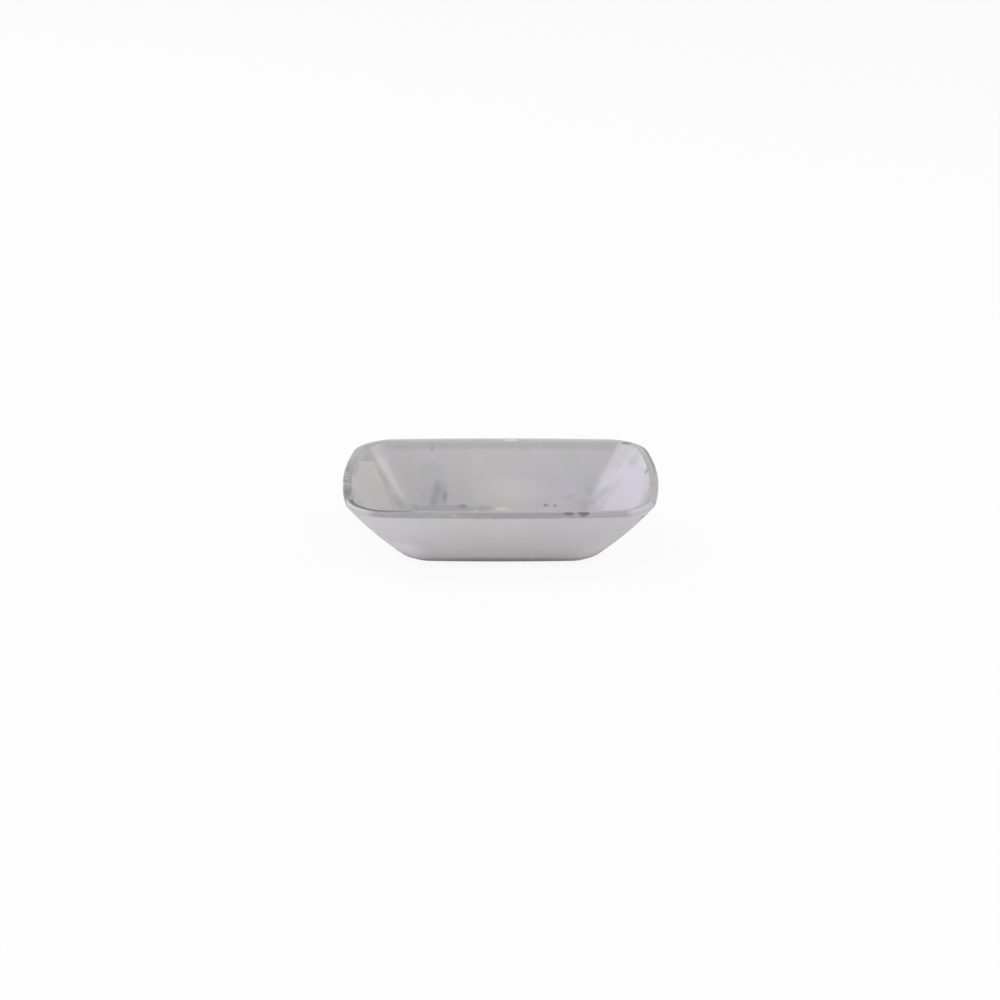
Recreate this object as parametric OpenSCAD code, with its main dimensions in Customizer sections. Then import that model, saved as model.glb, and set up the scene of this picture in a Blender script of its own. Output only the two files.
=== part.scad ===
// A small deep rectangular dish of glazed porcelain: a fired clay body with a bare foot ring,
// and the coats of glaze that are fired onto it. It stands on the plane Z = 0, centred on the
// origin, with its length along X. Millimetres.

/* [Rim] */
// Length of the dish over the lip
rim_l = 160; // [130:1:200]
// Width of the dish over the lip
rim_w = 120; // [105:1:160]
// Corner radius of the rim, seen from above
rim_corner_r = 18; // [14:0.5:28]
// How far a short side bows out between its corners
end_bow = 6.4; // [0:0.2:9]
// How far a long side bows out between its corners
side_bow = 2.8; // [0:0.2:6]
// Thickness of the lip, measured level
lip_t = 4.2; // [3.4:0.1:5.4]
// Height of the upright outer face of the lip
lip_h = 2.2; // [1.7:0.1:4]
// Rounding of the lip's outer and inner edges
lip_round_r = 1.3; // [0.6:0.1:1.6]

/* [Walls and floor] */
// Height of the dish
height = 37; // [30:0.5:50]
// How far the wall runs in from the lip to where it turns under
wall_run = 28.5; // [20:0.5:32]
// How far the wall swells outwards at half its height
wall_swell = 1.3; // [0:0.1:2]
// Thickness of the wall at its foot, square to it
wall_t = 4; // [3:0.1:5.4]
// Thickness of the floor over the hollow inside the foot ring
floor_t = 3.8; // [3:0.1:6]
// Corner radius of the wall at its foot, seen from above
base_corner_r = 12.5; // [11:0.5:20]
// Rounding outside, where the wall turns under
heel_r = 3; // [2:0.5:5]
// Rounding inside, where the wall meets the floor
cove_r = 9; // [5:0.5:12]

/* [Foot ring] */
// Height of the foot ring
foot_h = 1.4; // [1:0.1:3]
// Thickness of the foot ring, measured level
foot_t = 3.2; // [2.4:0.1:4.5]
// Level strip between the rounding under the wall and the foot ring
foot_set_in = 1.8; // [0.8:0.1:3]
// Depth of the hollow inside the foot ring
foot_hollow = 2; // [1.4:0.1:3]
// Bevel along the foot ring's standing edges
foot_bevel = 0.5; // [0.2:0.1:0.8]

/* [Glaze] */
// Thickness of the glaze
glaze_t = 0.35; // [0.2:0.05:0.5]
// How far the speckled rim glaze reaches down the outer wall from the lip
band_out = 1.2; // [0.8:0.1:3]
// How far the speckled rim glaze reaches down the inner wall from the lip
band_in = 2.2; // [1.5:0.1:4]

/* [Hidden] */

// How many steps draw each rounding, and each straight of a ring and of the wall
corner_steps = 9;
side_steps = 8;
lip_steps = 3;
heel_steps = 3;
cove_steps = 5;
wall_steps = 4;
ring_points = 4 * (corner_steps + side_steps);

half_l = rim_l / 2;
half_w = rim_w / 2;
floor_z = foot_hollow + floor_t;
wall_top_z = height - lip_h;
// No ring has a sharper corner than the lip's own rounding
least_corner_r = lip_round_r;

clay_colour = "#e6e1d8";
inside_colour = "#b8b8bb";
rim_colour = "#8f9092";
outside_colour = "#bebcc1";

function unit(v) = v / norm(v);
function within(v, low, high) = max(low, min(high, v));
function blend(a, b, share) = a + (b - a) * share;
function reversed(list) = [for (i = [len(list) - 1:-1:0]) list[i]];
function last_of(list) = list[len(list) - 1];
// 1 at half way and 0 at both ends
function arch(share) = 4 * share * (1 - share);

// Half the angle that a path from a to c makes at its corner b
function half_angle(a, b, c) = acos(unit(a - b) * unit(c - b)) / 2;
// Distance from that corner to where a rounding of radius r meets its sides
function tangent_l(a, b, c, r) = r / tan(half_angle(a, b, c));
// The arc of radius r that rounds it, on the way from a to c
function rounded(a, b, c, r, steps) =
    let (
        half = half_angle(a, b, c),
        centre = b + unit(unit(a - b) + unit(c - b)) * r / sin(half),
        start = b + unit(a - b) * tangent_l(a, b, c, r) - centre,
        turn = sign(cross(start, b - centre)) * (180 - 2 * half),
        first = atan2(start.y, start.x)
    )
    [for (k = [0:steps]) let (t = first + turn * k / steps) centre + r * [cos(t), sin(t)]];

// Points strictly between a and b
function between(a, b, steps) = [for (k = [1:steps - 1]) blend(a, b, k / steps)];

// The section, as points [inset from the rim's outline, height], before the wall swells.
// The outer wall is a straight line from wall_foot up to wall_head, and the lip stands on it.
wall_foot = [wall_run, foot_h];
wall_head = [0, wall_top_z];
lip_edge = [0, height];
lip_inner = [lip_t, height];
up_wall = unit(wall_head - wall_foot);
function up_wall_share(z) = within((z - foot_h) / (wall_top_z - foot_h), 0, 1);
function wall_line(z) = wall_run * (1 - up_wall_share(z));

floor_corner = [wall_line(floor_z) + wall_t / up_wall.y, floor_z];
under_corner = wall_foot + [wall_t, 0];
foot_outer = wall_foot + [tangent_l(under_corner, wall_foot, wall_head, heel_r) + foot_set_in, 0];
band_low = wall_head - up_wall * band_out;
band_high = lip_inner + unit(floor_corner - lip_inner) * band_in;

heel_arc = rounded(under_corner, wall_foot, wall_head, heel_r, heel_steps);
edge_arc = rounded(wall_head, lip_edge, lip_inner, lip_round_r, lip_steps);
inner_arc = rounded(lip_edge, lip_inner, floor_corner, lip_round_r, lip_steps);
cove_arc = rounded(lip_inner, floor_corner, floor_corner + [cove_r, 0], cove_r, cove_steps);
floor_edge = last_of(cove_arc) + [wall_t, 0];

outside_section = concat([foot_outer], heel_arc, between(last_of(heel_arc), band_low, wall_steps));
rim_section = concat([band_low, wall_head], edge_arc, inner_arc);
inside_section = concat(
    [band_high],
    between(band_high, cove_arc[0], wall_steps),
    cove_arc,
    [floor_edge]
);
section = concat(outside_section, rim_section, inside_section);
rim_first = len(outside_section);
rim_last = rim_first + len(rim_section);
floor_last = len(section) - 1;

// A ring's corners shrink with the wall's taper, and then by as much as the ring lies inside the wall
function ring_corner_r(p) =
    max(least_corner_r, blend(base_corner_r, rim_corner_r, up_wall_share(p.y)) - p.x + wall_line(p.y));

// A rounded rectangle about the origin: four corner arcs, with points along the sides between them
quadrants = [[1, 1], [-1, 1], [-1, -1], [1, -1]];
function corner_centre(q, hx, hy, r) = [quadrants[q % 4].x * (hx - r), quadrants[q % 4].y * (hy - r)];
function on_arc(centre, r, turns) = centre + r * [cos(90 * turns), sin(90 * turns)];
function outline(hx, hy, r) = [
    for (q = [0:3])
        let (here = corner_centre(q, hx, hy, r), next = corner_centre(q + 1, hx, hy, r))
        each concat(
            [for (k = [0:corner_steps]) on_arc(here, r, q + k / corner_steps)],
            between(on_arc(here, r, q + 1), on_arc(next, r, q + 1), side_steps)
        )
];

// One level ring of the dish, from a point of its section, with its sides bowed out
function ring(p) =
    let (
        out = wall_swell * arch(up_wall_share(p.y)) - p.x,
        hx = half_l + out,
        hy = half_w + out
    )
    [
        for (q = outline(hx, hy, ring_corner_r(p))) [
            q.x * (1 - end_bow / half_l * pow(q.y / hy, 2)),
            q.y * (1 - side_bow / half_w * pow(q.x / hx, 2)),
            p.y
        ]
    ];

// A ring of the foot, straight under the outline that the dish has at the foot ring's top
function foot_ring(inset, z) = [for (q = ring([inset, foot_h])) [q.x, q.y, z]];

// Rings moved in by a distance, square to the surface that they make
function sunk(rings, distance) = [
    for (i = [0:len(rings) - 1]) [
        for (j = [0:ring_points - 1])
            let (
                before = rings[max(i - 1, 0)][j],
                after = rings[min(i + 1, len(rings) - 1)][j],
                left = rings[i][(j + ring_points - 1) % ring_points],
                right = rings[i][(j + 1) % ring_points]
            )
            rings[i][j] - unit(cross(right - left, after - before)) * distance
    ]
];

// The glaze's surface from the foot ring over the lip to the floor, and the clay's surface under it
glaze_rings = [for (p = section) ring(p)];
clay_rings = sunk(glaze_rings, glaze_t);

// The bare foot ring, from the clay over the hollow round to the clay under the wall
foot_in = foot_outer.x + foot_t;
clay_ceiling_z = foot_hollow + glaze_t;
foot_rings = [
    foot_ring(foot_in, clay_ceiling_z),
    foot_ring(foot_in, foot_bevel),
    foot_ring(foot_in - foot_bevel, 0),
    foot_ring(foot_outer.x + foot_bevel, 0),
    foot_ring(foot_outer.x, foot_bevel)
];

// The faces between two rings, from where each ring starts in the list of points
function strip(a, b) = [
    for (j = [0:ring_points - 1])
        let (k = (j + 1) % ring_points)
        each [[a + j, b + k, a + k], [a + j, b + j, b + k]]
];
function strips(start, count) = [
    for (i = [0:count - 2]) each strip(start + i * ring_points, start + (i + 1) * ring_points)
];
function lid(a) = [[for (j = [0:ring_points - 1]) a + j]];
function flipped(faces) = [for (f = faces) reversed(f)];

// A solid through a list of rings, with a flat face on each end
module solid_of(rings) {
    end = (len(rings) - 1) * ring_points;
    polyhedron(
        points = [for (r = rings) each r],
        faces = concat(lid(0), strips(0, len(rings)), flipped(lid(end)))
    );
}

// The coat of glaze over the clay from one ring of the section to another. On the floor it is whole.
module coat(first, last) {
    count = last - first + 1;
    end = (count - 1) * ring_points;
    clay = count * ring_points;
    closing = last == floor_last ? concat(flipped(lid(end)), lid(clay + end)) : strip(end, clay + end);
    polyhedron(
        points = [
            for (i = [first:last]) each glaze_rings[i],
            for (i = [first:last]) each clay_rings[i]
        ],
        faces = concat(strips(0, count), closing, flipped(strips(clay, count)), flipped(strip(0, clay)))
    );
}

module clay_body() {
    color(clay_colour) solid_of(concat(foot_rings, clay_rings));
}

module inside_glaze() {
    color(inside_colour) coat(rim_last, floor_last);
}

module rim_glaze() {
    color(rim_colour) coat(rim_first, rim_last);
}

module outside_glaze() {
    color(outside_colour) coat(0, rim_first);
}

module underside_glaze() {
    color(outside_colour) solid_of([foot_ring(foot_in, foot_hollow), foot_ring(foot_in, clay_ceiling_z)]);
}

clay_body();
inside_glaze();
rim_glaze();
outside_glaze();
underside_glaze();
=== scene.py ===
import math

import bmesh
import bpy
from mathutils import Matrix, Vector, noise


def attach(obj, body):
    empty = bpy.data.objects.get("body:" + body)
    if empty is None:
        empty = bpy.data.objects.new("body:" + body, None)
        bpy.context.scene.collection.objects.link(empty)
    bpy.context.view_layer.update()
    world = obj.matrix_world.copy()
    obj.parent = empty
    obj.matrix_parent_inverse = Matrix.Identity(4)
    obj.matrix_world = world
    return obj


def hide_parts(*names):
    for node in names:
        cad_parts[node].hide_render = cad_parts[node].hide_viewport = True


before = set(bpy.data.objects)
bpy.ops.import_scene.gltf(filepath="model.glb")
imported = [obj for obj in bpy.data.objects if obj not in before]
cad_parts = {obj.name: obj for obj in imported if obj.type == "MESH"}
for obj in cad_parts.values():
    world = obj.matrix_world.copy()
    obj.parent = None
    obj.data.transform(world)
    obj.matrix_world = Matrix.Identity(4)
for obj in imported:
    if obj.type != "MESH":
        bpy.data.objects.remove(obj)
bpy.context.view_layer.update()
mm = 0.001  # everything in Blender is in metres

# The dish's plan and section in millimetres, and the steps that draw them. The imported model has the
# same, with plainer edges at the shoulder and the foot.
dish = {
    "length": 160.0,
    "width": 120.0,
    "height": 37.0,
    "rimCorner": 18.0,
    "baseCorner": 12.5,
    "leastCorner": 1.3,
    "endBow": 6.4,
    "sideBow": 2.8,
    "lipThick": 4.2,
    "lipHeight": 2.2,
    "lipRound": 1.3,
    "shoulderRound": 1.0,
    "wallRun": 28.5,
    "wallSwell": 1.3,
    "wallThick": 4.0,
    "floorThick": 3.8,
    "heelRound": 3.0,
    "coveRound": 9.0,
    "footHeight": 1.4,
    "footThick": 3.2,
    "footSetIn": 1.8,
    "footHollow": 2.0,
    "footRound": 0.6,
    "hollowRound": 0.6,
    "glazeThick": 0.35,
    "bandOut": 1.2,
    "bandIn": 2.2,
    "cornerSteps": 24,
    "sideSteps": 24,
    "wallSteps": 14,
    "heelSteps": 10,
    "coveSteps": 14,
    "shoulderSteps": 6,
    "lipSteps": 8,
    "footSteps": 6,
    "floorStride": 2.0,
    "floorShares": (0.92, 0.8, 0.64, 0.46, 0.28, 0.12),
}

# How far the dish moved as it was fired, always inwards and down, so that it stays within its size
firing = {
    "sag": 0.25,
    "swing": 0.1,
    "sagSize": 60.0,
    "sagAt": (8.3, 5.9, 1.2),
    "swingSize": 45.0,
    "swingAt": (3.1, 0.4, 7.7),
}


def share(value, low, high):
    return min(1.0, max(0.0, (value - low) / (high - low)))


def upWall(z):
    return share(z, dish["footHeight"], dish["height"] - dish["lipHeight"])


def wallLine(z):
    return dish["wallRun"] * (1.0 - upWall(z))


def between(a, b, steps):
    return [a.lerp(b, k / steps) for k in range(1, steps)]


def roundCorner(a, b, c, radius, steps):
    toA = (a - b).normalized()
    toC = (c - b).normalized()
    half = toA.angle(toC) / 2
    centre = b + (toA + toC).normalized() * radius / math.sin(half)
    start = b + toA * radius / math.tan(half) - centre
    turn = math.copysign(math.pi - 2 * half, start.cross(b - centre))
    return [centre + Matrix.Rotation(turn * k / steps, 2) @ start for k in range(steps + 1)]


def quarterTurn(steps):
    return [math.pi / 2 / steps * k for k in range(steps + 1)]


def sunk(path, depth):  # the same path, moved into the clay square to itself
    moved = []
    for i, point in enumerate(path):
        run = (path[min(i + 1, len(path) - 1)] - path[max(i - 1, 0)]).normalized()
        moved.append(point + Vector((run.y, -run.x)) * depth)
    return moved


def warped(point):  # where the firing left a point, in millimetres
    lift = share(point.z, 0.0, dish["height"])
    swing = 0.5 + 0.5 * noise.noise(point / firing["swingSize"] + Vector(firing["swingAt"]))
    sag = 0.5 + 0.5 * noise.noise(point / firing["sagSize"] + Vector(firing["sagAt"]))
    return Vector((
        point.x * (1 - firing["swing"] * swing * lift / (dish["length"] / 2)),
        point.y * (1 - firing["swing"] * swing * lift / (dish["width"] / 2)),
        point.z - firing["sag"] * sag * lift * lift,
    ))


# One level ring of the dish, from a point of its section: its edges, in order
def addRing(mesh, layer, inset, z, along, shrink=1.0):
    swell = dish["wallSwell"] * 4 * upWall(z) * (1 - upWall(z))
    halfX = dish["length"] / 2 + swell - inset
    halfY = dish["width"] / 2 + swell - inset
    corner = dish["baseCorner"] + (dish["rimCorner"] - dish["baseCorner"]) * upWall(z)
    corner = max(dish["leastCorner"], corner - inset + wallLine(z))
    made = bmesh.ops.create_grid(mesh, x_segments=1, y_segments=1, size=1)
    bmesh.ops.scale(mesh, vec=(halfX, halfY, 1), verts=made["verts"])
    bmesh.ops.translate(mesh, vec=(0, 0, z), verts=made["verts"])
    rounded = bmesh.ops.bevel(
        mesh,
        geom=made["verts"],
        offset=corner,
        offset_type="OFFSET",
        segments=dish["cornerSteps"],
        profile=0.5,
        affect="VERTICES",
        material=-1,
    )
    face = rounded["verts"][0].link_faces[0]
    straights = sorted(face.edges, key=lambda e: e.calc_length())[-4:]
    bmesh.ops.delete(mesh, geom=[face], context="FACES_ONLY")
    cut = bmesh.ops.subdivide_edges(mesh, edges=straights, cuts=dish["sideSteps"] - 1)
    ring = []
    start = next(g for g in cut["geom_inner"] if isinstance(g, bmesh.types.BMVert))
    vert = start
    edge = vert.link_edges[0]
    while not ring or vert is not start:
        ring.append(edge)
        across = vert.co.y / halfY
        down = vert.co.x / halfX
        bowed = Vector((
            vert.co.x * (1 - dish["endBow"] / (dish["length"] / 2) * across ** 2),
            vert.co.y * (1 - dish["sideBow"] / (dish["width"] / 2) * down ** 2),
            z,
        ))
        vert[layer] = along
        vert.co = warped(Vector((bowed.x * shrink, bowed.y * shrink, z)))
        vert = edge.other_vert(vert)
        edge = next(e for e in vert.link_edges if e is not edge)
    return ring


# A solid through a list of rings, joined to itself if closed and lidded at both ends if not
def loft(name, stations, closed, creases=()):
    mesh = bmesh.new()
    layer = mesh.verts.layers.float.new("fromLip")
    rings = [addRing(mesh, layer, *station) for station in stations]
    places = [(vert, vert.co.copy()) for vert in mesh.verts]
    for i, ring in enumerate(rings):  # rings at one height bridge crosswise unless they stand apart
        verts = list({vert for edge in ring for vert in edge.verts})
        bmesh.ops.translate(mesh, vec=(0, 0, dish["height"] * i), verts=verts)
    for here, after in zip(rings, rings[1:] + rings[:1] * closed):
        bmesh.ops.bridge_loops(mesh, edges=here + after)
    for vert, place in places:
        vert.co = place
    if not closed:
        for end in (rings[0], rings[-1]):
            lid = bmesh.ops.contextual_create(mesh, geom=end)["faces"]
            bmesh.ops.poke(mesh, faces=lid)
    bmesh.ops.recalc_face_normals(mesh, faces=mesh.faces)
    for face in mesh.faces:
        face.smooth = True
    for i in creases:
        for edge in rings[i]:
            edge.smooth = False
    bmesh.ops.scale(mesh, vec=(mm, mm, mm), verts=mesh.verts)
    data = bpy.data.meshes.new(name)
    mesh.to_mesh(data)
    mesh.free()
    piece = bpy.data.objects.new(name, data)
    bpy.context.scene.collection.objects.link(piece)
    return piece


print("section")
wallFoot = Vector((dish["wallRun"], dish["footHeight"]))
wallHead = Vector((0.0, dish["height"] - dish["lipHeight"]))
lipEdge = Vector((0.0, dish["height"]))
lipInner = Vector((dish["lipThick"], dish["height"]))
wallRise = (wallHead - wallFoot).normalized()
floorZ = dish["footHollow"] + dish["floorThick"]
floorCorner = Vector((wallLine(floorZ) + dish["wallThick"] / wallRise.y, floorZ))
underCorner = wallFoot + Vector((dish["wallThick"], 0.0))
bandLow = wallHead - wallRise * dish["bandOut"]
bandHigh = lipInner + (floorCorner - lipInner).normalized() * dish["bandIn"]

heelArc = roundCorner(underCorner, wallFoot, wallHead, dish["heelRound"], dish["heelSteps"])
footOuter = heelArc[0].x + dish["footSetIn"]
footInner = footOuter + dish["footThick"]
coveEnd = floorCorner + Vector((dish["coveRound"], 0))
coveArc = roundCorner(lipInner, floorCorner, coveEnd, dish["coveRound"], dish["coveSteps"])
footCorner = Vector((footOuter, dish["footHeight"]))
outsidePath = [footCorner] + heelArc + between(heelArc[-1], bandLow, dish["wallSteps"]) + [bandLow]
rimPath = (
    [bandLow]
    + roundCorner(bandLow, wallHead, lipEdge, dish["shoulderRound"], dish["shoulderSteps"])
    + roundCorner(wallHead, lipEdge, lipInner, dish["lipRound"], dish["lipSteps"])
    + roundCorner(lipEdge, lipInner, floorCorner, dish["lipRound"], dish["lipSteps"])
    + [bandHigh]
)
insidePath = [bandHigh] + between(bandHigh, coveArc[0], dish["wallSteps"]) + coveArc
wholePath = outsidePath + rimPath[1:] + insidePath[1:]


def lengthsAlong(path):
    lengths = [0.0]
    for a, b in zip(path, path[1:]):
        lengths.append(lengths[-1] + (b - a).length)
    return lengths


# Millimetres along the section from the lip's middle, less than 0 outside it
fromStart = lengthsAlong(wholePath)
lipMiddle = (lipEdge + lipInner) / 2
middleAt = min(range(len(wholePath)), key=lambda i: (wholePath[i] - lipMiddle).length)
middleAlong = fromStart[middleAt] + (lipMiddle - wholePath[middleAt]).x
wholeAlong = [d - middleAlong for d in fromStart]
outsideAlong = wholeAlong[:len(outsidePath)]
rimAlong = wholeAlong[len(outsidePath) - 1:len(outsidePath) + len(rimPath) - 1]
insideAlong = wholeAlong[len(outsidePath) + len(rimPath) - 2:]
floorShares = dish["floorShares"]  # rings towards the floor's middle, as shares of its edge


def stationsOf(path, alongs):
    return [(p.x, p.y, d) for p, d in zip(path, alongs)]


def coatStations(path, alongs):  # up the glaze's face and back along the clay's
    under = sunk(path, dish["glazeThick"])
    return stationsOf(path, alongs) + stationsOf(under[::-1], alongs[::-1])


print("coats of glaze")
outsideCount = len(outsidePath)
outsideGlaze = loft("outsideGlaze", coatStations(outsidePath, outsideAlong), True,
                    (outsideCount - 1, outsideCount))
rimGlaze = loft("rimGlaze", coatStations(rimPath, rimAlong), True,
                (0, len(rimPath) - 1, len(rimPath), 2 * len(rimPath) - 1))
insideEnd = insidePath[-1]
insideStations = stationsOf(insidePath, insideAlong)
insideStations += [
    (insideEnd.x, insideEnd.y, insideAlong[-1] + dish["floorStride"] * k, s)
    for k, s in enumerate(floorShares, 1)
]
underInside = sunk(insidePath, dish["glazeThick"])
underStations = stationsOf(underInside, insideAlong)
underStations += [(insideEnd.x, underInside[-1].y, 0, s) for s in floorShares]
insideGlaze = loft("insideGlaze", insideStations[::-1] + underStations, False,
                   (len(insideStations) - 1, len(insideStations)))
hollowZ = dish["footHollow"]
ceilingZ = hollowZ + dish["glazeThick"]
hollowRound = dish["hollowRound"]  # a fillet of glaze where the hollow meets the foot ring
hollowStations = [(footInner, hollowZ, 0, s) for s in floorShares[::-1]]
hollowStations += [
    (
        footInner + hollowRound - hollowRound * math.sin(a),
        hollowZ - hollowRound + hollowRound * math.cos(a),
        0,
    )
    for a in quarterTurn(dish["footSteps"])
]
hollowStations += [(footInner, ceilingZ, 0)] + [(footInner, ceilingZ, 0, s) for s in floorShares]
undersideGlaze = loft("undersideGlaze", hollowStations, False)

print("clay")
footRound = dish["footRound"]
clayStations = [(footInner, ceilingZ, 0, s) for s in floorShares[::-1]] + [(footInner, ceilingZ, 0)]
clayStations += [
    (footInner - footRound + footRound * math.cos(a), footRound - footRound * math.sin(a), 0)
    for a in quarterTurn(dish["footSteps"])
]
clayStations += [
    (footOuter + footRound - footRound * math.sin(a), footRound - footRound * math.cos(a), 0)
    for a in quarterTurn(dish["footSteps"])
]
clayPath = sunk(wholePath, dish["glazeThick"])
clayStations += stationsOf(clayPath, wholeAlong)
clayStations += [(insideEnd.x, clayPath[-1].y, 0, s) for s in floorShares]
clayBody = loft("clayBody", clayStations, False)

pieces = {
    "clay_body": (clayBody, "bare_porcelain"),
    "inside_glaze": (insideGlaze, "cloudy_glaze"),
    "rim_glaze": (rimGlaze, "speckled_glaze"),
    "outside_glaze": (outsideGlaze, "plain_glaze"),
    "underside_glaze": (undersideGlaze, "plain_glaze"),
}
for node, (piece, slot) in pieces.items():
    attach(piece, "root")
    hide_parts(node)


def fromHex(code):  # a colour's code as linear light
    parts = [int(code[i:i + 2], 16) / 255 for i in (1, 3, 5)]
    return [p / 12.92 if p <= 0.04045 else ((p + 0.055) / 1.055) ** 2.4 for p in parts] + [1.0]


def addNode(tree, kind, settings=None, links=None):
    made = tree.nodes.new(kind)
    for name, value in (settings or {}).items():
        setattr(made, name, value)
    for socket, source in (links or {}).items():
        if isinstance(source, bpy.types.NodeSocket):
            tree.links.new(source, made.inputs[socket])
        else:
            made.inputs[socket].default_value = source
    return made


def mixColours(tree, cover, under, over):  # its sockets go by number, because their names repeat
    return addNode(tree, "ShaderNodeMix", {"data_type": "RGBA"}, {
        0: cover, 6: under, 7: over}).outputs[2]


def smoothStep(tree, value, low, high, top):  # 0 at low, top at high, and no kink between
    return addNode(tree, "ShaderNodeMapRange", {"interpolation_type": "SMOOTHSTEP"}, {
        "Value": value, "From Min": low, "From Max": high, "To Max": top}).outputs[0]


def calculate(tree, operation, *values):
    return addNode(tree, "ShaderNodeMath", {"operation": operation}, dict(enumerate(values))).outputs[0]


def calculateVector(tree, operation, *values):
    made = addNode(tree, "ShaderNodeVectorMath", {"operation": operation}, dict(enumerate(values)))
    return made.outputs["Value" if operation in ("LENGTH", "DOT_PRODUCT") else "Vector"]


def noiseAt(tree, where, size, detail):
    return addNode(tree, "ShaderNodeTexNoise", {}, {
        "Vector": where, "Scale": 1 / (size * mm), "Detail": detail})


def bumpOf(tree, height):  # from a height in millimetres
    return addNode(tree, "ShaderNodeBump", {}, {
        "Distance": mm, "Strength": 1.0, "Height": height}).outputs[0]


def newMaterial(name):
    material = bpy.data.materials.new(name)
    material.use_nodes = True
    tree = material.node_tree
    tree.nodes.clear()
    surface = addNode(tree, "ShaderNodeBsdfPrincipled")
    addNode(tree, "ShaderNodeOutputMaterial", {}, {"Surface": surface.outputs["BSDF"]})
    return material, tree, surface


# Sizes, places and reaches are in millimetres. A cloud is noise between low and high, which may keep
# within a region. A mark is an ellipsoid that fades from its core out to its reach. A line keeps it to
# a strip at that distance from the lip's middle, and cuts stop it at slanting planes.
pattern = {  # what a cloud, a speck or a mark has unless it says otherwise
    "cloudDetail": 2.0,
    "cloudRoughness": 0.55,
    "speckCore": 0.4,
    "markCore": 0.3,
}
noiseMiddle = 0.5  # a noise runs from 0 to 1


def paintClouds(tree, where, under, clouds, limits=None):
    for cloud in clouds:
        stretched = addNode(tree, "ShaderNodeMapping", {"vector_type": "TEXTURE"}, {
            "Vector": where,
            "Location": [v * mm for v in cloud.get("shift", (0, 0, 0))],
            "Scale": [cloud["size"] * v * mm for v in cloud.get("stretch", (1, 1, 1))],
        })
        grain = addNode(tree, "ShaderNodeTexNoise", {}, {
            "Vector": stretched.outputs[0],
            "Scale": 1.0,
            "Detail": cloud.get("detail", pattern["cloudDetail"]),
            "Roughness": pattern["cloudRoughness"],
        })
        cover = smoothStep(tree, grain.outputs["Fac"], cloud["low"], cloud["high"], cloud["amount"])
        if "within" in cloud:
            cover = calculate(tree, "MULTIPLY", cover, limits[cloud["within"]])
        under = mixColours(tree, cover, under, fromHex(cloud["colour"]))
    return under


def paintSpecks(tree, where, under, specks):
    for speck in specks:
        cells = addNode(tree, "ShaderNodeTexVoronoi", {}, {
            "Vector": where, "Scale": 1 / (speck["spacing"] * mm)})
        edge = speck["radius"] / speck["spacing"]
        core = pattern["speckCore"] * speck["radius"] / speck["spacing"]
        near = smoothStep(tree, cells.outputs["Distance"], edge, core, speck["amount"])
        chance = addNode(tree, "ShaderNodeSeparateColor", {}, {"Color": cells.outputs["Color"]})
        chosen = calculate(tree, "LESS_THAN", chance.outputs[0], speck["share"])
        cover = calculate(tree, "MULTIPLY", near, chosen)
        under = mixColours(tree, cover, under, fromHex(speck["colour"]))
    return under


def coverOf(tree, where, lip, mark):  # the mark's amount at its middle, 0 outside it
    placed = addNode(tree, "ShaderNodeMapping", {"vector_type": "TEXTURE"}, {
        "Vector": where,
        "Location": [v * mm for v in mark["at"]],
        "Rotation": [math.radians(v) for v in mark.get("turn", (0, 0, 0))],
        "Scale": [v * mm for v in mark["reach"]],
    })
    away = calculateVector(tree, "LENGTH", placed.outputs[0])
    ranges = [(away, 1.0, mark.get("core", pattern["markCore"]))]
    for cut in mark.get("cuts", ()):
        along = calculateVector(tree, "DOT_PRODUCT", where, cut["facing"])
        ranges.append((along, cut["from"] * mm, (cut["from"] + cut["fade"]) * mm))
    if "line" in mark:
        away = calculate(tree, "ABSOLUTE", calculate(tree, "SUBTRACT", lip, mark["line"]))
        ranges.append((away, mark["half"], mark["half"] * mark.get("flat", 0.0)))
    cover = mark["amount"]
    for value, low, high in ranges:
        cover = smoothStep(tree, value, low, high, cover)
    return cover


def paintMarks(tree, where, lip, under, marks):
    for mark in marks:
        under = mixColours(tree, coverOf(tree, where, lip, mark), under, fromHex(mark["colour"]))
    return under


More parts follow.
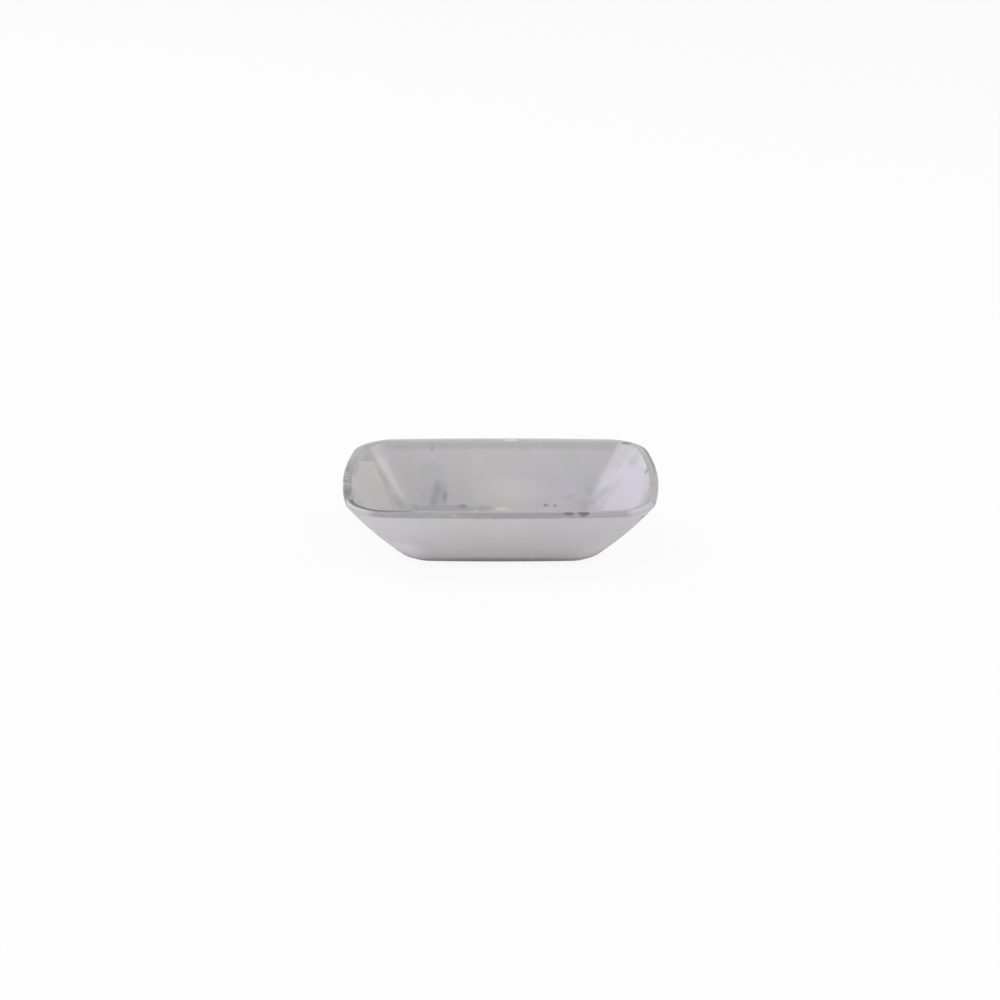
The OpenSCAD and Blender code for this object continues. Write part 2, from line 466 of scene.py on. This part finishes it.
print("finishes")
acrossEdge = [  # marks that run from the lip onto the inner wall: the first two are painted shade below the lip
    # painted shade in a band below the back lip
    {"at": (0, 56, 35), "reach": (76, 12, 9), "core": 0.8, "line": 5.0, "half": 3.0, "flat": 0.3,
     "colour": "#a4a3a6", "amount": 0.45},
    # painted shade below the left lip, at its inner edge
    {"at": (-75, 14, 35), "reach": (8, 19, 8), "core": 0.3, "line": 2.6, "half": 3.6, "flat": 0.3,
     "colour": "#959597", "amount": 0.7},
    {"at": (75, 8.6, 36), "reach": (3, 5.6, 3), "core": 0.2, "colour": "#86878f", "amount": 0.75},
]
insideFinish = {  # a milky grey glaze that clouded as it cooled, with painted reflections, highlights, shade and a painted shadow among its marks
    "ground": "#bdbabc",
    "clouds": [
        {"size": 36, "low": 0.46, "high": 0.66, "colour": "#c4c1c3", "amount": 0.5},
        {"size": 28, "shift": (40, 11, 5), "low": 0.5, "high": 0.7, "colour": "#b5b8b6", "amount": 0.5},
        {"size": 22, "shift": (7, 60, 9), "low": 0.48, "high": 0.7, "colour": "#bdbac6", "amount": 0.5},
        {"size": 16, "shift": (2, 31, 12), "low": 0.52, "high": 0.7, "colour": "#c2b9bc", "amount": 0.45},
        {"size": 3.4, "stretch": (1, 1, 5), "detail": 3, "low": 0.55, "high": 0.75, "colour": "#a9a9ad",
         "amount": 0.2},
        {"size": 4.5, "shift": (9, 2, 3), "detail": 4, "low": 0.46, "high": 0.72, "colour": "#adabae",
         "amount": 0.16},
        {"size": 1.2, "detail": 2, "low": 0.5, "high": 0.75, "colour": "#cfcdcf", "amount": 0.12},
    ],
    "specks": [
        {"spacing": 9.5, "radius": 0.4, "share": 0.25, "colour": "#7c7c80", "amount": 0.45},
        {"spacing": 6.2, "radius": 0.35, "share": 0.25, "colour": "#dddce0", "amount": 0.3},
    ],
    "marks": [
        # painted light and reflection on the right inner wall, with a lilac tint of the glaze: paler
        # patches that stop at a slanting edge
        {"at": (66, 20, 22), "reach": (30, 60, 40), "core": 0.6, "colour": "#c8c5ce", "amount": 0.9,
         "cuts": [{"facing": (0.846, -0.508, -0.163), "from": 18.9, "fade": 2.0}]},
        {"at": (66, 10, 20), "reach": (26, 56, 26), "core": 0.5, "colour": "#e0dde8", "amount": 0.95,
         "cuts": [{"facing": (0.846, -0.508, -0.163), "from": 26.0, "fade": 8}]},
        {"at": (57, 36, 19), "reach": (10, 18, 13), "core": 0.3, "colour": "#d6d3db", "amount": 0.65,
         "cuts": [{"facing": (0.846, -0.508, -0.163), "from": 17.5, "fade": 1.4}]},
        {"at": (69.5, 40, 33.5), "reach": (9, 17, 7), "core": 0.3, "colour": "#c2c2c3", "amount": 0.75},
        # painted highlight: a faint pale ridge near the top of the right-back corner
        {"at": (67.7, 44, 33.6), "reach": (1.4, 5, 1.8), "turn": (33, 0, 0),
         "colour": "#d0ced4", "amount": 0.6},
        # painted reflection: a grey streak and a darker patch along the jagged lower edge of the right
        # wall's pale zone
        {"at": (54, 33.4, 15.6), "reach": (9, 4.2, 4.2), "turn": (0, -41, 15), "core": 0.0,
         "colour": "#a9a8b4", "amount": 0.65},
        {"at": (48, 29, 10.3), "reach": (9, 10, 6), "core": 0.6, "colour": "#b8b6bc", "amount": 0.9,
         "cuts": [
             {"facing": (-1, 0, 0), "from": -50.6, "fade": 1.6},
             {"facing": (0.43, 0, -0.9), "from": 9.4, "fade": 1.2},
         ]},
        # painted reflection on the left inner wall: a darker top band, then a paler zone cut off at
        # slanting edges
        {"at": (-70, 32, 33), "reach": (16, 26, 13), "core": 0.6, "colour": "#aaaaab", "amount": 0.65,
         "cuts": [{"facing": (-0.497, 0.459, 0.737), "from": 73.7, "fade": 0.9}]},
        {"at": (-66, 12, 22), "reach": (22, 44, 26), "core": 0.7, "colour": "#cbcac8", "amount": 0.9,
         "cuts": [
             {"facing": (0.497, -0.459, -0.737), "from": -74.6, "fade": 1.0},
             {"facing": (-0.494, -0.803, 0.333), "from": 10.6, "fade": 1.6},
             {"facing": (-0.589, -0.568, 0.574), "from": 30.4, "fade": 1.4},
         ]},
        # painted reflection: a darker band along the back-left corner, in this mark and the next
        {"at": (-61, 35, 25), "reach": (7, 9, 15), "core": 0.2, "colour": "#acada6", "amount": 0.6,
         "cuts": [{"facing": (0.494, 0.803, -0.333), "from": -11.6, "fade": 1.2}]},
        {"at": (-53.5, 28, 11.5), "reach": (8, 8, 7), "core": 0.3, "colour": "#a4a6a3", "amount": 0.6,
         "cuts": [{"facing": (0.494, 0.803, -0.333), "from": -11.6, "fade": 1.2}]},
        # painted highlight: a paler stripe along the back-left corner, over the right lamp's own reflection
        # there
        {"at": (-60, 41.6, 25.6), "reach": (17, 4, 4), "turn": (0, 46.5, -41.3), "core": 0.3,
         "colour": "#c7c4c3", "amount": 0.5},
        {"at": (4, 38, 14), "reach": (26, 12, 12), "core": 0.2, "colour": "#ccc8c9", "amount": 0.8},
        {"at": (36, 36, 12), "reach": (15, 9, 9), "core": 0.3, "colour": "#c5c3c9", "amount": 0.6},
        {"at": (-4, 36, 13), "reach": (11, 10, 9), "core": 0.1, "colour": "#c9bebb", "amount": 0.6},
        {"at": (-32, 37, 14), "reach": (7, 9.5, 9.5), "core": 0.15, "colour": "#9fa2a4", "amount": 0.7},
        {"at": (-33.2, 39.5, 17), "reach": (2.2, 5, 5), "colour": "#8f9394", "amount": 0.45},
        {"at": (-29.4, 36, 12), "reach": (1.7, 4.2, 4.2), "colour": "#85898b", "amount": 0.5},
        {"at": (-35.2, 34, 10), "reach": (2.4, 4, 4), "colour": "#878a8c", "amount": 0.45},
        {"at": (-34.4, 37, 13.6), "reach": (2.6, 4.6, 4.6), "colour": "#8f9394", "amount": 0.3},
        {"at": (-39, 37, 14), "reach": (5, 7, 7), "core": 0.1, "colour": "#aab0b0", "amount": 0.4},
        {"at": (-35.5, 44.5, 23), "reach": (9, 11, 12), "core": 0.2, "colour": "#a8abad", "amount": 0.35},
        {"at": (-36.1, 53, 33.9), "reach": (1.2, 3.8, 3.8), "colour": "#898b8d", "amount": 0.5},
        # painted shadow along the back of the inner floor
        {"at": (-29, 27.5, 6.6), "reach": (28, 10, 3.4), "core": 0.6, "colour": "#a4a5a9", "amount": 0.8},
        {"at": (-49.5, 29, 9.8), "reach": (7, 5, 4), "core": 0.2, "colour": "#9fa5a2", "amount": 0.5},
        {"at": (-44.6, 31.1, 8.4), "reach": (3.4, 2.4, 2), "colour": "#838587", "amount": 0.35},
        {"at": (-19.6, 32.3, 8.2), "reach": (3.6, 2, 1.8), "colour": "#837f80", "amount": 0.6},
        {"at": (-8, 31.6, 7.4), "reach": (7, 3, 2.2), "colour": "#9f9a99", "amount": 0.45},
        {"at": (0.8, 31.2, 7.2), "reach": (5.6, 1.9, 1.5), "core": 0.2, "colour": "#d6d0cf", "amount": 0.8},
        {"at": (-13.2, 29.2, 6.2), "reach": (2.2, 1.6, 1.2), "colour": "#cfcdcf", "amount": 0.85},
        {"at": (23.6, 32.8, 8.7), "reach": (2.2, 1.6, 1.4), "colour": "#85878a", "amount": 0.75},
        {"at": (28.4, 32.7, 8.6), "reach": (1.6, 1.3, 1.2), "colour": "#85878a", "amount": 0.65},
        {"at": (36, 35.4, 12.4), "reach": (8, 3, 2.2), "turn": (0, -14, 0), "core": 0.0,
         "colour": "#a4a6ad", "amount": 0.4},
        {"at": (43, 33, 9.6), "reach": (9, 3, 2.2), "turn": (0, 16, 0), "core": 0.0,
         "colour": "#a9abb0", "amount": 0.35},
        {"at": (46, 37, 15.5), "reach": (4, 4, 5), "core": 0.1, "colour": "#adb1bd", "amount": 0.5},
    ] + acrossEdge,
}
outsideFinish = {  # the same glaze put on thin and even, with painted light and shade on the wall and at the foot among its marks
    "ground": "#cac8c9",
    "clouds": [
        {"size": 40, "shift": (3, 9, 20), "low": 0.48, "high": 0.66, "colour": "#cdccd3", "amount": 0.6},
        {"size": 30, "shift": (31, 4, 2), "low": 0.5, "high": 0.7, "colour": "#c5c6c2", "amount": 0.5},
        {"size": 20, "shift": (12, 7, 40), "low": 0.52, "high": 0.68, "colour": "#cfc3c8", "amount": 0.4},
        {"size": 5, "shift": (1, 5, 8), "detail": 4, "low": 0.48, "high": 0.75, "colour": "#bebcbe",
         "amount": 0.16},
        {"size": 1.3, "detail": 2, "low": 0.5, "high": 0.78, "colour": "#dad8da", "amount": 0.12},
    ],
    "specks": [
        {"spacing": 11, "radius": 0.3, "share": 0.3, "colour": "#8f8b88", "amount": 0.35},
    ],
    "marks": [  # the first is glaze pooled at the foot, made darker as painted shade under the heel
        {"at": (0, 0, 0.5), "reach": (90, 62, 6.5), "core": 0.5, "colour": "#82786f", "amount": 0.75},
        # painted light: the lower front wall paler
        {"at": (0, -37, 8), "reach": (50, 9, 4.5), "core": 0.1, "colour": "#d6d3d4", "amount": 0.4},
        # painted light: the front-left outer wall paler, as lit from the left
        {"at": (-58, -50, 28), "reach": (24, 24, 18), "core": 0.2, "colour": "#cfcdd6", "amount": 0.7},
        # painted shade: the upper outer wall darker towards the right
        {"at": (42, -52, 28), "reach": (50, 24, 17), "core": 0.3, "colour": "#c3c1c8", "amount": 0.6},
        # painted highlights on the lower corners of the outer wall, in this mark and the next
        {"at": (-50, -38, 8), "reach": (17, 18, 13), "core": 0.1, "colour": "#e4e2e8", "amount": 0.85},
        {"at": (49, -38, 6), "reach": (16, 17, 10), "core": 0.2, "colour": "#dbd8d9", "amount": 0.7},
        {"at": (70.3, -47.5, 31.2), "reach": (3, 3.4, 2), "core": 0.2, "colour": "#6f6d72", "amount": 0.8},
    ],
}
rimFinish = {  # the glaze runs thin over the lip and breaks there to darker grey, with painted shade along the inner edge and a painted highlight at the back among its marks
    "ground": "#9b9a9c",
    "leftEnd": {"at": (-82, -10, 37), "reach": (18, 42, 14), "core": 0.6, "amount": 1.0},
    "farSide": {"facing": (0.4, 0.9, 0.0), "from": -20, "to": 50},
    "clouds": [
        {"size": 14, "low": 0.42, "high": 0.62, "colour": "#a4a2a6", "amount": 0.5},
        {"size": 3.2, "shift": (4, 1, 6), "detail": 4, "low": 0.5, "high": 0.68, "colour": "#b2b1b3",
         "amount": 0.25},
        {"size": 2.6, "shift": (14, 8, 2), "detail": 4, "low": 0.52, "high": 0.66, "colour": "#808183",
         "amount": 0.25},
        {"size": 9, "shift": (2, 3, 4), "low": 0.28, "high": 0.5, "colour": "#b5b4b6", "amount": 0.85,
         "within": "farSide"},
        {"size": 3.0, "stretch": (0.55, 1.5, 1), "detail": 4, "low": 0.36, "high": 0.6, "colour": "#5c5e5f",
         "amount": 0.8, "within": "leftEnd"},
        {"size": 2.4, "shift": (5, 5, 5), "stretch": (0.6, 1.6, 1), "detail": 4, "low": 0.59, "high": 0.66,
         "colour": "#c8c8c8", "amount": 0.6, "within": "leftEnd"},
    ],
    "specks": [
        {"spacing": 3.6, "radius": 0.42, "share": 0.3, "colour": "#6b6c6d", "amount": 0.35},
        {"spacing": 4.4, "radius": 0.4, "share": 0.3, "colour": "#cfcfce", "amount": 0.35},
    ],
    "marks": [
        {"at": (-37, -57.5, 37), "reach": (28, 6, 4), "core": 0.7, "line": 0.4, "half": 2.2, "flat": 0.4,
         "colour": "#98999d", "amount": 0.8},
        {"at": (6, -57.5, 37), "reach": (36, 7, 4), "core": 0.7, "line": -0.6, "half": 3.4, "flat": 0.5,
         "colour": "#9b9299", "amount": 0.75},
        {"at": (18, -58, 36.5), "reach": (38, 6, 4), "core": 0.6, "line": -1.9, "half": 1.6, "flat": 0.3,
         "colour": "#6b6266", "amount": 0.08},
        {"at": (0, 57, 37), "reach": (64, 9, 5), "core": 0.7, "line": 0.8, "half": 3.2, "flat": 0.5,
         "colour": "#c6c5c7", "amount": 0.5},
        {"at": (54, -56.5, 36.6), "reach": (17, 8, 5), "core": 0.6, "colour": "#a5a1a8", "amount": 0.75},
        {"at": (79, 8, 37), "reach": (13, 44, 8), "core": 0.5, "colour": "#8c8b92", "amount": 0.5},
        {"at": (-72, -51, 36), "reach": (13, 15, 7), "core": 0.45, "line": -3.4, "half": 3.2, "flat": 0.7,
         "colour": "#c3c2c8", "amount": 0.85},
        {"at": (72, -52, 36), "reach": (13, 11, 6), "core": 0.6, "line": -2.4, "half": 3.4, "flat": 0.7,
         "colour": "#bfbec2", "amount": 0.85},
        # painted shade along the lip's inner edge at the front-left corner, in this mark and the next
        {"at": (-64.5, -48, 37), "reach": (15, 16, 4), "core": 0.75, "line": 0.55, "half": 1.5, "flat": 0.5,
         "colour": "#39393b", "amount": 0.95},
        {"at": (-51, -56, 37), "reach": (12, 5, 4), "core": 0.3, "line": 0.9, "half": 1.5, "flat": 0.4,
         "colour": "#48484b", "amount": 0.85},
        {"at": (-76.8, -28, 37), "reach": (3.8, 10, 3), "core": 0.4, "colour": "#4b4d4e", "amount": 0.75},
        {"at": (-79.2, -14, 36.5), "reach": (0.9, 4, 1.2), "colour": "#dadada", "amount": 0.8},
        {"at": (-75.6, -40.5, 35.9), "reach": (0.9, 3.4, 1.5), "colour": "#d6d6d6", "amount": 0.6},
        # painted shade along the lip's inner edge on the left end
        {"at": (-75, -8, 36.5), "reach": (6, 26, 5), "core": 0.5, "line": 1.9, "half": 1.3, "flat": 0.3,
         "colour": "#77787a", "amount": 0.6},
        {"at": (69, -46, 37), "reach": (11, 16, 4), "core": 0.4, "line": 1.4, "half": 1.0,
         "colour": "#8d8c90", "amount": 0.8},
        {"at": (72, 33, 36), "reach": (16, 42, 8), "core": 0.6, "line": -1.1, "half": 1.2, "flat": 0.4,
         "colour": "#66666a", "amount": 0.8},
        {"at": (66.8, 51, 37), "reach": (4.5, 2.6, 2), "core": 0.5, "colour": "#6d6d70", "amount": 0.75},
        {"at": (33.4, -58.3, 36.4), "reach": (3.9, 2.1, 1.6), "core": 0.5,
         "colour": "#605e62", "amount": 0.8},
        {"at": (40.6, -58, 36.5), "reach": (4, 2.5, 1.9), "core": 0.6, "colour": "#5a575b", "amount": 0.85},
        # painted highlight on the back of the lip
        {"at": (5.8, 55.2, 36), "reach": (4.4, 3, 2.8), "core": 0.7, "colour": "#d6d6d3", "amount": 0.9},
        {"at": (-75.2, 6.5, 36.6), "reach": (2.2, 4.6, 2.2), "colour": "#5d5f60", "amount": 0.85},
    ] + acrossEdge,
}
glaze = {  # glass melted onto clay: glossy, with a slow ripple and a fine orange peel
    "ior": 1.55,
    "smoothest": 0.14,
    "roughest": 0.26,
    "raggedSize": 3.2,
    "ragged": 2.2,
    "bandFrom": -4.15,
    "bandTo": 2.6,
    "fadeFrom": 2.1,
    "fadeTo": 1.0,
    "waver": 1.2,
    "ripple": 0.05,
    "rippleSize": 11.0,
    "peel": 0.004,
    "peelSize": 1.3,
    "rimDepth": 4.0,  # how far the rim's coat reaches down
    "poolShadeTop": 7.5,  # above the pool of glaze and painted shade at the foot
}


def topOf(mark):  # the height that a mark can reach
    return mark["at"][2] + max(mark["reach"] if "turn" in mark else mark["reach"][2:])


def paintSide(tree, where, lip, finish, lowest, limits=None):  # without the marks below the piece
    colour = paintClouds(tree, where, fromHex(finish["ground"]), finish["clouds"], limits)
    colour = paintSpecks(tree, where, colour, finish["specks"])
    marks = [mark for mark in finish["marks"] if topOf(mark) > lowest]
    return paintMarks(tree, where, lip, colour, marks)


def glazeMaterial(name, sides, lowest=0.0):
    material, tree, surface = newMaterial(name)
    where = addNode(tree, "ShaderNodeTexCoord").outputs["Object"]
    lip = addNode(tree, "ShaderNodeAttribute", {"attribute_name": "fromLip"}).outputs["Fac"]
    wander = noiseAt(tree, where, glaze["raggedSize"], detail=3.0)
    centred = calculateVector(tree, "SUBTRACT", wander.outputs["Color"], [noiseMiddle] * 3)
    ragged = calculateVector(tree, "MULTIPLY_ADD", centred, [glaze["ragged"] * mm] * 3, where)
    if "inside" in sides:
        colour = inside = paintSide(tree, ragged, lip, insideFinish, lowest)
    if "outside" in sides:
        colour = outside = paintSide(tree, ragged, lip, outsideFinish, lowest)
    if "rim" in sides:
        offset = calculate(tree, "SUBTRACT", wander.outputs["Fac"], noiseMiddle)
        wavering = calculate(tree, "MULTIPLY_ADD", offset, glaze["waver"], lip)
        if "inside" in sides and "outside" in sides:
            inner = calculate(tree, "GREATER_THAN", lip, 0.0)
            colour = mixColours(tree, inner, outside, inside)
        far = rimFinish["farSide"]
        across = calculateVector(tree, "DOT_PRODUCT", where, far["facing"])
        farSide = addNode(tree, "ShaderNodeMapRange", {}, {
            "Value": across, "From Min": far["from"] * mm, "From Max": far["to"] * mm})
        leftEnd = coverOf(tree, where, lip, rimFinish["leftEnd"])
        limits = {"farSide": farSide.outputs[0], "leftEnd": leftEnd}
        rim = paintSide(tree, ragged, lip, rimFinish, lowest, limits)
        band = 1.0
        for edge, fade in ((glaze["bandFrom"], glaze["fadeFrom"]), (glaze["bandTo"], -glaze["fadeTo"])):
            band = smoothStep(tree, wavering, edge - fade / 2, edge + fade / 2, band)
        colour = mixColours(tree, band, colour, rim)
    ripple = noiseAt(tree, where, glaze["rippleSize"], detail=1.0)
    peel = noiseAt(tree, where, glaze["peelSize"], detail=1.0)
    peelHeight = calculate(tree, "MULTIPLY", peel.outputs["Fac"], glaze["peel"])
    height = calculate(tree, "MULTIPLY_ADD", ripple.outputs["Fac"], glaze["ripple"], peelHeight)
    bump = bumpOf(tree, height)
    hazy = addNode(tree, "ShaderNodeMapRange", {}, {
        "Value": wander.outputs["Fac"], "To Min": glaze["smoothest"], "To Max": glaze["roughest"]})
    tree.links.new(colour, surface.inputs["Base Color"])
    tree.links.new(hazy.outputs[0], surface.inputs["Roughness"])
    tree.links.new(bump, surface.inputs["Normal"])
    surface.inputs["IOR"].default_value = glaze["ior"]
    return material


clayFinish = {  # fired porcelain without glaze: matt, chalky, with a fine grain
    "ground": "#d9d3c8",
    "clouds": [
        {"size": 9, "low": 0.45, "high": 0.7, "colour": "#c9c1b4", "amount": 0.6},
        {"size": 0.9, "detail": 4, "low": 0.48, "high": 0.65, "colour": "#b9b1a5", "amount": 0.45},
    ],
    "specks": [
        {"spacing": 2.6, "radius": 0.22, "share": 0.4, "colour": "#7d6a58", "amount": 0.7},
    ],
    "marks": [],
    "grain": 0.03,
    "grainSize": 0.5,
    "roughness": 0.75,
}
biscuit, tree, surface = newMaterial("porcelainBiscuitFired")
where = addNode(tree, "ShaderNodeTexCoord").outputs["Object"]
tree.links.new(paintSide(tree, where, None, clayFinish, 0.0), surface.inputs["Base Color"])
grain = noiseAt(tree, where, clayFinish["grainSize"], detail=3.0)
grainHeight = calculate(tree, "MULTIPLY", grain.outputs["Fac"], clayFinish["grain"])
tree.links.new(bumpOf(tree, grainHeight), surface.inputs["Normal"])
surface.inputs["Roughness"].default_value = clayFinish["roughness"]

# The rim's coat takes only the marks that reach up to it, and the hollow's has no pool of glaze or painted
# shade of the foot
rimLow = dish["height"] - glaze["rimDepth"]
# the inside, rim and outside glazes carry painted light, shade and highlights among their marks
finishes = {
    "clay_body": biscuit,
    "inside_glaze": glazeMaterial("glazeCloudyPaintedLight", ("inside",)),
    "rim_glaze": glazeMaterial("glazeBreakingPaintedLight", ("inside", "outside", "rim"), rimLow),
    "outside_glaze": glazeMaterial("glazePlainPaintedLight", ("outside", "rim")),
    "underside_glaze": glazeMaterial("glazeThinFired", ("outside",), glaze["poolShadeTop"]),
}
for node, finish in finishes.items():
    pieces[node][0].data.materials.append(finish)


print("stage")
stage = {  # rolled white paper: matt, and pale enough to show only the dish's shadow
    "floorRadius": 8.0,
    "floorSides": 64,
    "floorColour": "#f2f2f2",
    "floorRoughness": 0.9,
    "floorShine": 0.1,
    "white": "#ffffff",
    "paperWhite": 0.9,
    "fill": 0.625,
}
mesh = bmesh.new()
bmesh.ops.create_circle(mesh, cap_ends=True, segments=stage["floorSides"], radius=stage["floorRadius"])
floorData = bpy.data.meshes.new("floor")
mesh.to_mesh(floorData)
mesh.free()
floor = bpy.data.objects.new("floor", floorData)
bpy.context.scene.collection.objects.link(floor)
floorPaper, tree, surface = newMaterial("whitePaperRolled")
surface.inputs["Base Color"].default_value = fromHex(stage["floorColour"])
surface.inputs["Roughness"].default_value = stage["floorRoughness"]
surface.inputs["Specular IOR Level"].default_value = stage["floorShine"]
rays = addNode(tree, "ShaderNodeLightPath")
seen = calculate(tree, "MULTIPLY", rays.outputs["Is Camera Ray"], stage["paperWhite"])
glow = addNode(tree, "ShaderNodeEmission", {}, {"Color": fromHex(stage["white"]), "Strength": 1.0})
mixed = addNode(tree, "ShaderNodeMixShader", {}, {
    0: seen, 1: surface.outputs[0], 2: glow.outputs[0]})
output = next(n for n in tree.nodes if n.type == "OUTPUT_MATERIAL")
tree.links.new(mixed.outputs[0], output.inputs["Surface"])
floorData.materials.append(floorPaper)

# The surroundings are white where they are seen or mirrored, and dimmer as light
world = bpy.data.worlds.new("studio")
bpy.context.scene.world = world
world.use_nodes = True
tree = world.node_tree
tree.nodes.clear()
rays = addNode(tree, "ShaderNodeLightPath")
mirrored = calculate(
    tree, "MAXIMUM", rays.outputs["Is Glossy Ray"], rays.outputs["Is Transmission Ray"])
seen = calculate(tree, "MAXIMUM", rays.outputs["Is Camera Ray"], mirrored)
strength = addNode(tree, "ShaderNodeMapRange", {}, {
    "Value": seen, "To Min": stage["fill"], "To Max": 1.0})
sky = addNode(tree, "ShaderNodeBackground", {}, {
    "Color": fromHex(stage["white"]), "Strength": strength.outputs[0]})
addNode(tree, "ShaderNodeOutputWorld", {}, {"Surface": sky.outputs[0]})

print("lamps")
lamps = {  # where each soft box stands, its width, height and power
    "leftBox": {"at": (-1.1, 0.3, 0.75), "size": (2.4, 1.4), "watts": 9.6, "colour": "#fbfbff"},
    "rightBox": {"at": (0.797, -0.07, 0.72), "size": (1.1, 0.5), "watts": 2.7, "colour": "#fffefb"},
    "frontBox": {"at": (0.1, -1.2, 0.35), "size": (1.4, 0.5), "watts": 3.1, "colour": "#ffffff"},
}
for name, lamp in lamps.items():
    light = bpy.data.lights.new(name, "AREA")
    light.shape = "RECTANGLE"
    light.size, light.size_y = lamp["size"]
    light.energy = lamp["watts"]
    light.color = fromHex(lamp["colour"])[:3]
    box = bpy.data.objects.new(name, light)
    box.location = lamp["at"]
    box.rotation_euler = (-Vector(lamp["at"])).to_track_quat("-Z", "Y").to_euler()
    bpy.context.scene.collection.objects.link(box)

print("camera")
view = {  # metres, degrees and millimetres
    "distance": 1.3885,
    "elevation": 20.3,
    "pitch": -19.404,
    "turn": 0.013,
    "lens": 97.43,
    "sensor": 36.0,
}
lensData = bpy.data.cameras.new("camera")
lensData.lens = view["lens"]
lensData.sensor_width = view["sensor"]
camera = bpy.data.objects.new("camera", lensData)
lift = math.radians(view["elevation"])
camera.location = (0.0, -view["distance"] * math.cos(lift), view["distance"] * math.sin(lift))
camera.rotation_euler = (math.radians(90 + view["pitch"]), 0.0, math.radians(view["turn"]))
bpy.context.scene.collection.objects.link(camera)
bpy.context.scene.camera = camera
bpy.context.scene.view_settings.view_transform = "Standard"
